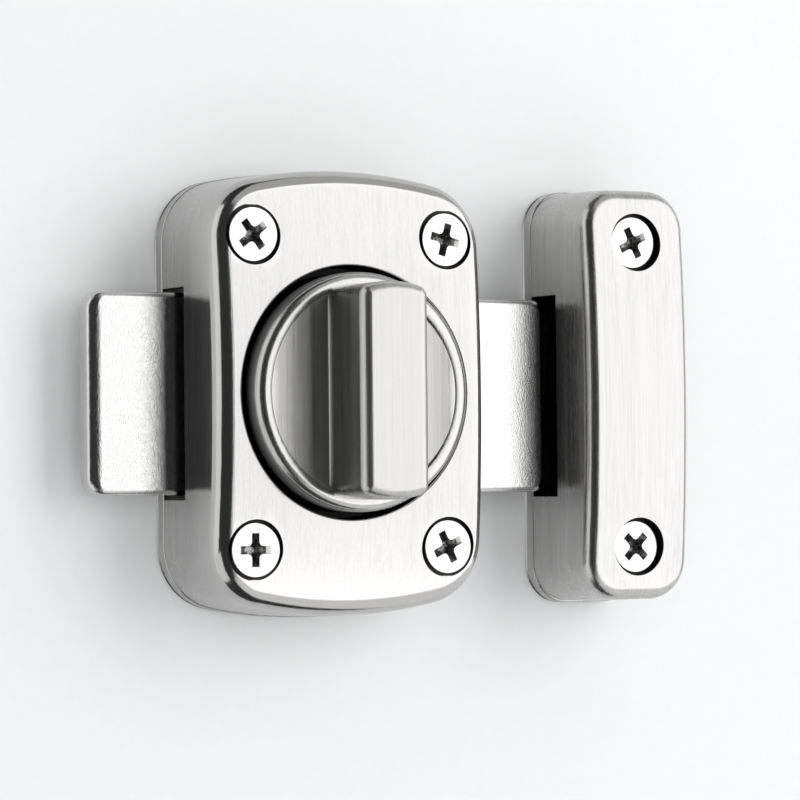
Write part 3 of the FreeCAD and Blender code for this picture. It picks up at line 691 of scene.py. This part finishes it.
class LATCH_OT_back_plates(bpy.types.Operator):
    """Presses the two back plates that close the case and the keeper"""
    bl_idname = "latch.back_plates"
    bl_label = "Back Plates"

    def execute(self, context):
        settings = context.scene.latch
        case, keeper, screw = settings.case, settings.keeper, settings.screw
        made = (
            ("case_back_plate", "body_back_plate", 0.0, case.half_width, case.corner,
             arc_radius(case.half_width, case.end_rise), BODY_SCREWS, CASE_SCREWS),
            ("keeper_base", "keeper_back_plate", KEEPER_X, KEEPER_HALF_WIDTH, keeper.corner,
             KEEPER_END_RADIUS, KEEPER_SCREWS, ()),
        )
        ease, out = 0.1 * MM, PLATE_FRONT + MM
        for name, node, x, half_width, corner, end_radius, screws, sunk in made:
            points, normals = outline(half_width, high(node, 2), corner, end_radius)
            rings = [at_height(points - ease * normals, 0.0, x), at_height(points, ease, x)]
            for inset, drop in quarter_round(SEAM, 4):
                rings.append(at_height(points - inset * normals, PLATE_FRONT - drop, x))
            plate = pull_through(name, rings)
            holes = [lathe("hole_cutter", [(screw.hole, -MM), (screw.hole, out)], seat(each))
                     for each in screws]
            sink = [(CASE_SCREW_HEAD, -ease), (CASE_SCREW_HEAD, 0.0),
                    (CASE_SCREW_HOLE, CASE_SCREW_SINK), (CASE_SCREW_HOLE, out)]
            holes += [lathe("sink_cutter", sink, seat(each, 0.0)) for each in sunk]
            combine(plate, join(holes))
            finish_cast(settings, plate, node)
        return {"FINISHED"}


class LATCH_OT_keeper_cover(bpy.types.Operator):
    """Casts the keeper's cover, with the pocket that takes the bolt's tip"""
    bl_idname = "latch.keeper_cover"
    bl_label = "Keeper Cover"

    def execute(self, context):
        settings = context.scene.latch
        keeper, screw, bolt = settings.keeper, settings.screw, settings.bolt
        rings = case_walls(keeper, KEEPER_DEPTH, KEEPER_HALF_WIDTH, KEEPER_END_RADIUS,
                           (keeper.front_round, keeper.front_round), KEEPER_X)
        rim = rings[-1][:, (0, 2)] - (KEEPER_X, 0.0)
        for share in (0.06, 0.2, 0.4, 0.6, 0.8, 1.0):
            points = rim * (1 - share, 1 - 0.2 * share)
            rings.append(on_crown(points, KEEPER_DEPTH, keeper.crown, x=KEEPER_X))
        points, normals = outline(KEEPER_HALF_WIDTH, keeper.half_height, keeper.corner,
                                  KEEPER_END_RADIUS)
        inner = points - keeper.wall * normals
        ceiling = crown_height(KEEPER_DEPTH, keeper.crown, keeper.half_height) - FRONT_WALL
        inside = [at_height(inner * (0.0, 0.8), ceiling, KEEPER_X),
                  at_height(inner * (0.5, 0.9), ceiling, KEEPER_X),
                  at_height(inner, ceiling, KEEPER_X), at_height(inner, PLATE_FRONT, KEEPER_X)]
        cover = pull_through("keeper_cap", inside + rings)

        post_radius, post_top = 4.9 * MM, 16 * MM
        seats = [seat(node, KEEPER_X) for node in KEEPER_SCREWS]
        combine(cover, join([post(place, post_radius, post_top) for place in seats]), "UNION")
        combine(cover, join([sunk_hole(screw, node, place, KEEPER_DEPTH + MM)
                             for node, place in zip(KEEPER_SCREWS, seats)]))
        slot = block("slot", (KEEPER_X - 2 * KEEPER_HALF_WIDTH, -bolt.slot_front,
                              -bolt.slot_half_height), (KEEPER_X, 0.0, bolt.slot_half_height))
        combine(cover, slot)
        # The inner walls and the screw holes get painted shade.
        mark_faces(cover, "painted_shade", shaded_hollows(KEEPER_DEPTH, KEEPER_X, 0.0, seats, screw.mouth))
        finish_cast(settings, cover, "keeper_cover")
        return {"FINISHED"}


class LATCH_OT_bolt(bpy.types.Operator):
    """Blanks the sliding bolt, rounds its edges and cuts the slot for the crank pin"""
    bl_idname = "latch.bolt"
    bl_label = "Bolt"

    def execute(self, context):
        settings = context.scene.latch
        sizes = settings.bolt
        left, right = low("bolt", 0), high("bolt", 0)
        x = (left + right) / 2
        points, normals = outline((right - left) / 2, BOLT_HALF_HEIGHT, sizes.corner,
                                  STRAIGHT_END)
        rings = []
        wide = normals * (1 + sizes.end_spread * normals[:, :1] ** 2)
        for inset, drop in reversed(quarter_round(sizes.edge_round, 10)):
            rings.append(at_height(points - inset * wide, BOLT_BACK + drop, x))
        for inset, drop in quarter_round(sizes.edge_round, 10):
            rings.append(at_height(points - inset * wide, BOLT_FRONT - drop, x))
        piece = pull_through("sliding_bolt", rings)
        # The pin climbs as the knob turns, so its slot runs further up than down.
        slot_half, play, climb = 2.95 * MM, 0.3 * MM, 2.8 * MM
        stadium = circle(slot_half, 64)
        stadium[:, 1] += np.where(stadium[:, 1] > 0, climb + play, -play)
        combine(piece, pull_through("pin_slot_cutter", [
            at_height(stadium, height, *seat("crank_pin"))
            for height in (BOLT_BACK - MM, BOLT_FRONT + MM)]))
        material = tumbled_nickel("tumbled_bolt", settings.finish.bright, 0.13)
        finish_piece(piece, "bolt", "bolt", material)
        return {"FINISHED"}


class LATCH_OT_knob(bpy.types.Operator):
    """Turns the knob with its hub and skirt, scoops it and welds on the finger grip"""
    bl_idname = "latch.knob"
    bl_label = "Knob"

    def execute(self, context):
        settings = context.scene.latch
        knob = settings.knob
        scoop_radius = arc_radius(knob.ring - knob.grip_half_width, knob.scoop_depth)
        scoop_lip = 0.07 * MM

        def floor(x):
            reach = np.clip(np.abs(x), knob.grip_half_width, knob.ring) - knob.grip_half_width
            rise = scoop_radius - np.sqrt(scoop_radius ** 2 - reach ** 2)
            return knob.rim - np.maximum(knob.scoop_depth - rise, scoop_lip)

        disc_front = -low("crank_disc", 1)
        bore_end = -low("knob_screw", 1) + 0.8 * MM
        tenon_radius, tenon_half, shade_front = 4.5 * MM, 3.2 * MM, CASE_DEPTH - 1.0 * MM
        tenon = circle(tenon_radius)
        tenon[:, 0] = np.clip(tenon[:, 0], -tenon_half, tenon_half)
        hollow_wall, skirt_inner = knob.hub + FRONT_WALL, KNOB_RADIUS - FRONT_WALL
        hollow_top = 18.3 * MM
        bore = circle(TAPPED_HOLE)
        rings = [at_height(bore, bore_end), at_height(bore, disc_front - MM),
                 at_height(tenon, disc_front - MM), at_height(tenon, disc_front)]
        for radius, height in (
                (knob.hub, disc_front), (knob.hub, KNOB_BACK), (hollow_wall, KNOB_BACK),
                (hollow_wall, hollow_top), (skirt_inner, hollow_top), (skirt_inner, KNOB_BACK),
                (KNOB_RADIUS - SEAM, KNOB_BACK),
                (KNOB_RADIUS - SEAM_MIDDLE, KNOB_BACK + SEAM_MIDDLE),
                (KNOB_RADIUS, KNOB_BACK + SEAM), (KNOB_RADIUS, shade_front)):
            rings.append(at_height(circle(radius), height))
        for inset, drop in quarter_round(knob.rim_round, 10):
            rings.append(at_height(circle(KNOB_RADIUS - inset), knob.rim - drop))
        # The flat ring's inner edge is eased in three steps down to the scoops.
        rings.append(at_height(circle(knob.ring + 0.12 * MM), knob.rim))
        edge = circle(knob.ring + 0.03 * MM)
        rings.append(at_height(edge, np.maximum(knob.rim - 0.04 * MM, floor(edge[:, 0]))))
        edge = circle(knob.ring)
        for share in (1.0, 0.985, 0.95, 0.9, 0.84, 0.78, 0.72, 0.66, 0.6, 0.54, 0.48, 0.42, 0.36,
                      0.2, 0.0):
            points = edge * (share, 0.9 + 0.1 * share)
            rings.append(at_height(points, floor(points[:, 0])))
        piece = pull_through("turn_knob", rings)

        points, normals = outline(knob.grip_half_width, knob.grip_radius,
                                  knob.grip_round + 0.1 * MM, knob.grip_radius)
        foot = knob.rim - knob.scoop_depth
        rings = [at_height(points, foot - MM), at_height(points + knob.cove * normals, foot - MM)]
        for inset, drop in quarter_round(knob.cove, 6):
            rings.append(at_height(points + drop * normals, foot + inset))
        for inset, drop in quarter_round(knob.grip_round, 10):
            rings.append(at_height(points - inset * normals, GRIP_FRONT - drop))
        combine(piece, pull_through("grip", rings), "UNION")

        inside, above, skirt_start = knob.ring - 0.1 * MM, knob.rim + 0.1 * MM, 17 * MM
        mark(piece, "polish", lambda place, normal:
             0.5 * (math.hypot(place.x, place.z) > inside and -place.y < above))
        mark_faces(piece, "dull", lambda place, normal:
                   math.hypot(place.x, place.z) > skirt_start and abs(normal.y) < 0.3)
        # Faces below the case's front, down in the recess, get painted shade.
        mark_faces(piece, "painted_shade", lambda place, normal: -place.y < shade_front)
        finish_cast(settings, piece, "knob", "knob", 0.30, 0.15, 28.0)
        return {"FINISHED"}


class LATCH_OT_wood_screws(bpy.types.Operator):
    """Turns one wood screw, punches its cross recess and stands a copy in each hole"""
    bl_idname = "latch.wood_screws"
    bl_label = "Wood Screws"

    def execute(self, context):
        settings = context.scene.latch
        sizes = settings.screw
        material = screw_nickel("shaded_recess_screw", settings.finish.bright)
        for screws in (BODY_SCREWS, KEEPER_SCREWS):
            pattern = self.turn_screw(sizes, next(iter(screws)))
            for node, turn in screws.items():
                select_only(pattern)
                bpy.ops.object.duplicate(linked=False)
                piece = bpy.context.object
                piece.name = node.replace("screw", "wood_screw")
                bpy.ops.transform.rotate(value=-math.radians(turn), orient_axis="Y",
                                         center_override=(0.0, 0.0, 0.0))
                x, z = seat(node)
                bpy.ops.transform.translate(value=(x, 0.0, z))
                finish_piece(piece, "case", node, material)
            select_only(pattern)
            bpy.ops.object.delete()
        return {"FINISHED"}

    def turn_screw(self, sizes, node):
        """One screw on the Y axis, with its head where the node's is."""
        top, tip = -low(node, 1), -high(node, 1)
        land = top - sizes.land
        step = sizes.thread - sizes.shank
        ring = circle(1.0, 48)
        rings = []
        turns = np.arctan2(ring[:, 1], ring[:, 0]) / (2 * math.pi)
        root, crest_rise, blunt, point_length = 0.35, 0.5, 0.08, 3.6 * MM
        for height in np.arange(tip, 0.0, sizes.pitch / 8):
            crest = np.abs(((height / sizes.pitch + turns) % 1.0) * 2 - 1)
            crest = np.clip((crest - root) / crest_rise, 0.0, 1.0)
            taper = min(1.0, blunt + (height - tip) / point_length)
            radius = (sizes.shank + step * crest) * taper
            rings.append(at_height(ring * radius[:, None], height))
        for radius, height in (
                (sizes.thread, 0.0), (sizes.shank, step),
                (sizes.shank, land - (sizes.head - sizes.shank)), (sizes.head, land),
                (sizes.head, top - 0.16 * MM), (sizes.head - 0.05 * MM, top - 0.05 * MM),
                (sizes.head - 0.18 * MM, top)):
            rings.append(at_height(ring * radius, height))
        piece = pull_through("wood_screw_pattern", rings)
        # The recess, from above the head to its floor: shares of its span, blade and depth.
        rings = []
        for span, blade, drop in ((1.2, 1.1, -0.3), (1.0, 1.0, 0.0), (0.8, 0.94, 0.3),
                                  (0.4, 0.7, 0.93), (0.33, 0.6, 1.0)):
            reach, flare = sizes.recess_span / 2 * span, sizes.flare * span
            half = sizes.blade * blade
            eased = half + 0.3 * flare
            corners = [(reach, -half), (reach, half), (half + flare, half), (eased, eased),
                       (half, half + flare)]
            cross = []
            for quarter in range(4):
                cross += corners
                corners = [(-b, a) for a, b in corners]
            rings.append(at_height(np.array(cross), top - drop * sizes.recess_depth))
        combine(piece, pull_through("cross_cutter", rings))
        recess_radius, recess_floor = 2.0 * MM, top - 2.5 * MM
        # Faces inside the cross recess get painted shade.
        mark_faces(piece, "painted_recess_shade", lambda place, normal:
                   math.hypot(place.x, place.z) < recess_radius
                   and recess_floor < -place.y < top - 0.05 * MM)
        return piece


class LATCH_OT_inner_works(bpy.types.Operator):
    """Finishes the working parts inside the case: bush, washer, crank, springs and guides"""
    bl_idname = "latch.inner_works"
    bl_label = "Inner Works"

    def execute(self, context):
        tint = context.scene.latch.finish
        made = (
            (("sintered_bush", tint.bronze, 0.42, 2600.0, 0.03 * MM, 0.62), ("knob_bush",)),
            (("rolled_spring", tint.steel, 0.3, (500.0, 3000.0, 3000.0), 0.01 * MM),
             ("wave_washer", "detent_spring")),
            (("plated_crank", tint.steel, 0.36, 900.0, 0.015 * MM, 0.7), ("crank_disc",)),
            (("ground_pin", tint.steel, 0.22, (2500.0, 300.0, 2500.0), 0.01 * MM, 0.6),
             ("crank_pin",)),
            (("plated_machine_screw", tint.bright, 0.24, 1200.0, 0.01 * MM, 0.75),
             ("knob_screw", *CASE_SCREWS)),
            (("moulded_guide", tint.acetal, 0.45, 700.0, 0.01 * MM, 0.93, 0.0),
             ("upper_bolt_guide", "lower_bolt_guide")),
        )
        for look, nodes in made:
            material = machined_metal(*look)
            for node in nodes:
                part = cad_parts[node]
                if not part.material_slots:
                    part.data.materials.append(material)
                for slot in part.material_slots:
                    slot.material = material
        return {"FINISHED"}


# ---- Stage

def soft_light(name, bearing, height, distance, width, tall, glow, in_reflections=True,
               on_paint=True):
    """A soft box that looks at the latch from a bearing right of straight on, as bright as glow."""
    turn = math.radians(bearing)
    place = Vector((distance * math.sin(turn), -distance * math.cos(turn), height))
    bpy.ops.object.light_add(type="AREA", location=place)
    light = bpy.context.object
    light.name = name
    light.data.shape = "RECTANGLE"
    light.data.size = width
    light.data.size_y = tall
    light.data.energy = glow * math.pi * width * tall
    light.rotation_euler = (-place).to_track_quat("-Z", "Y").to_euler()
    light.visible_camera = False
    light.visible_glossy = in_reflections
    light.visible_diffuse = on_paint


class LATCH_OT_stage(bpy.types.Operator):
    """Sets up the pale door panel and floor, the soft lights and the camera"""
    bl_idname = "latch.stage"
    bl_label = "Stage"

    def execute(self, context):
        tint = context.scene.latch.finish.door
        self.door_and_floor(tint)
        self.lights(context)
        self.camera(context)
        return {"FINISHED"}

    def door_and_floor(self, tint):
        select_only()
        bpy.ops.mesh.primitive_plane_add(size=1.0, location=(0.02, 0.0002, 0.05),
                                         rotation=(math.pi / 2, 0, 0))
        door = bpy.context.object
        door.name = "door_panel"
        door.scale = (1.0, 0.9, 1.0)
        bpy.ops.object.transform_apply()
        paint = painted("door_paint", tint, 0.5)
        # The door is clear from behind, and to the back plates, which stand close to it.
        from_behind = paint.add("ShaderNodeNewGeometry").outputs["Backfacing"]
        reach = paint.add("ShaderNodeLightPath").outputs["Ray Length"]
        from_plates = paint.times(reach, MM, "LESS_THAN")
        see_through = paint.times(from_behind, from_plates, "MAXIMUM")
        clear = paint.add("ShaderNodeBsdfTransparent").outputs["BSDF"]
        one_sided = paint.add("ShaderNodeMixShader")
        for socket, value in zip(one_sided.inputs,
                                 (see_through, paint.shader.outputs["BSDF"], clear)):
            paint.feed(socket, value)
        paint.feed(paint.nodes["Material Output"].inputs["Surface"], one_sided.outputs[0])
        door.data.materials.append(paint.material)
        bpy.ops.mesh.primitive_plane_add(size=3.0, location=(0.0, 0.0, -0.4))
        floor = bpy.context.object
        floor.name = "floor"
        floor.visible_glossy = False
        floor.data.materials.append(painted("floor_paint", tint, 0.6).material)

    def lights(self, context):
        select_only()
        soft_light("window_right", 48.0, 0.095, 0.8, 1.04, 0.93, 1.94, on_paint=False)
        soft_light("window_left", -76.0, 0.25, 0.75, 0.52, 1.3, 1.15)
        soft_light("glow_left", -76.0, -0.25, 0.3, 0.4, 0.25, 1.0, on_paint=False)
        soft_light("overhead", 55.0, 0.62, 0.45, 1.2, 0.5, 0.6)
        soft_light("floor_glow", 55.0, -0.25, 0.28, 0.7, 0.3, 1.0, on_paint=False)
        soft_light("door_wash", 42.0, 0.25, 1.0, 0.9, 0.9, 2.5, in_reflections=False)
        soft_light("door_fill", -20.0, 0.1, 1.0, 0.8, 0.8, 1.4, in_reflections=False)
        soft_light("room", 0.0, 1.3, 0.01, 2.4, 2.4, 0.5, in_reflections=False)
        soft_light("rear_left", 235.0, 0.1, 0.8, 0.9, 1.2, 1.1)
        soft_light("rear_right", 125.0, 0.1, 0.8, 0.9, 1.2, 0.87)
        soft_light("rear_wash", 180.0, 0.9, 0.7, 1.2, 1.2, 1.4, in_reflections=False)
        world = bpy.data.worlds.new("studio")
        world.use_nodes = True
        nodes, links = world.node_tree.nodes, world.node_tree.links
        dim = nodes["Background"]
        dim.inputs["Color"].default_value = (0.95, 0.97, 1.0, 1.0)
        dim.inputs["Strength"].default_value = 0.05
        pale = nodes.new("ShaderNodeBackground")
        pale.inputs["Color"].default_value = (0.86, 0.87, 0.88, 1.0)
        path, either = nodes.new("ShaderNodeLightPath"), nodes.new("ShaderNodeMixShader")
        for socket, node in zip(either.inputs, (path, dim, pale)):
            links.new(node.outputs[0], socket)
        links.new(either.outputs[0], nodes["World Output"].inputs["Surface"])
        context.scene.world = world
        context.scene.view_settings.view_transform = "Standard"

    def camera(self, context):
        yaw, pitch, roll = (math.radians(a) for a in (29.368, 1.479, -0.543))
        distance = 0.5557
        forward = Vector((math.sin(yaw) * math.cos(pitch), math.cos(yaw) * math.cos(pitch),
                          math.sin(pitch)))
        level = Vector((math.cos(yaw), -math.sin(yaw), 0.0))
        upright = level.cross(forward)
        right = math.cos(roll) * level + math.sin(roll) * upright
        up = math.cos(roll) * upright - math.sin(roll) * level
        aim = Vector((0.018417, 0.0, -0.00052))
        turned = Matrix((right, up, -forward)).transposed().to_4x4()
        bpy.ops.object.camera_add()
        camera = bpy.context.object
        camera.name = "camera"
        camera.data.lens = 163.165
        camera.data.sensor_width = 36.0
        camera.matrix_world = Matrix.Translation(aim - distance * forward) @ turned
        camera.data.clip_start = 0.01
        camera.data.clip_end = 20.0
        context.scene.camera = camera


class LATCH_PT_panel(bpy.types.Panel):
    """Lists the latch's pieces and their sizes"""
    bl_idname = "LATCH_PT_panel"
    bl_label = "Knob Bolt Latch"
    bl_space_type = "VIEW_3D"
    bl_region_type = "UI"
    bl_category = "Latch"

    def draw(self, context):
        column = self.layout.column(align=True)
        for operator in OPERATORS:
            column.operator(operator.bl_idname)
        settings = context.scene.latch
        for group in (settings.case, settings.keeper, settings.bolt, settings.knob, settings.screw,
                      settings.finish):
            box = self.layout.box()
            for name in group.bl_rna.properties.keys():
                if name not in ("rna_type", "name"):
                    box.prop(group, name)


OPERATORS = (
    LATCH_OT_case_cover, LATCH_OT_back_plates, LATCH_OT_keeper_cover, LATCH_OT_bolt, LATCH_OT_knob,
    LATCH_OT_wood_screws, LATCH_OT_inner_works, LATCH_OT_stage,
)
CLASSES = (
    LatchCaseSizes, LatchKeeperSizes, LatchBoltSizes, LatchKnobSizes, LatchScrewSizes,
    LatchFinishes, LatchSettings, *OPERATORS, LATCH_PT_panel,
)


def register():
    for each in CLASSES:
        bpy.utils.register_class(each)
    bpy.types.Scene.latch = bpy.props.PointerProperty(type=LatchSettings)


def unregister():
    del bpy.types.Scene.latch
    for each in reversed(CLASSES):
        bpy.utils.unregister_class(each)


def main():
    register()
    bpy.ops.latch.case_cover()
    bpy.ops.latch.back_plates()
    bpy.ops.latch.keeper_cover()
    bpy.ops.latch.bolt()
    bpy.ops.latch.knob()
    bpy.ops.latch.wood_screws()
    bpy.ops.latch.inner_works()
    bpy.ops.latch.stage()


if __name__ == "__main__":
    main()
